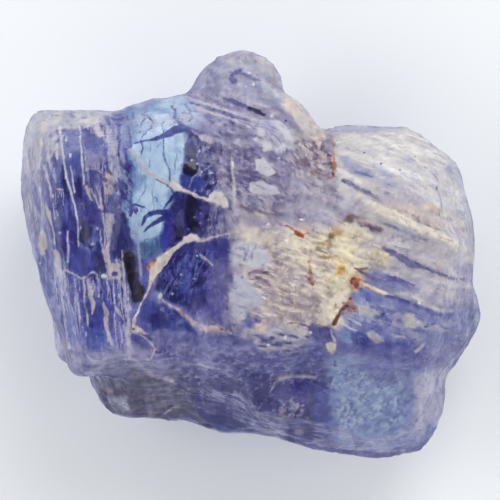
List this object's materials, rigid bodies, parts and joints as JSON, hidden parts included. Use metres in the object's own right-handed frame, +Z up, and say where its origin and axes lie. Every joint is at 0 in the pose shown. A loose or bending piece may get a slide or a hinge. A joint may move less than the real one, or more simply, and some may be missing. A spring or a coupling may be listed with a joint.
{
  "type": "rough tanzanite",
  "caption": "Uncut piece of violet-blue tanzanite: a blocky cleaved crystal with a rounded knob, stepped ledges, bevelled ridges and a flat cleavage face to lie on.",
  "frame": {"origin": "centre of the bounding box at the flat face that the stone lies on", "axes": "+Z up, away from the resting face; +X across the stone towards its rounded pale end; +Y towards its knob"},
  "size_m": [0.0126, 0.0112, 0.0073],
  "materials": {
    "tanzanite": "partly clear violet-blue crystal with a worn, frosted skin and rust-stained cracks"
  },
  "bodies": {
    "root": {"tanzanite": "tanzanite"}
  },
  "joints": []
}
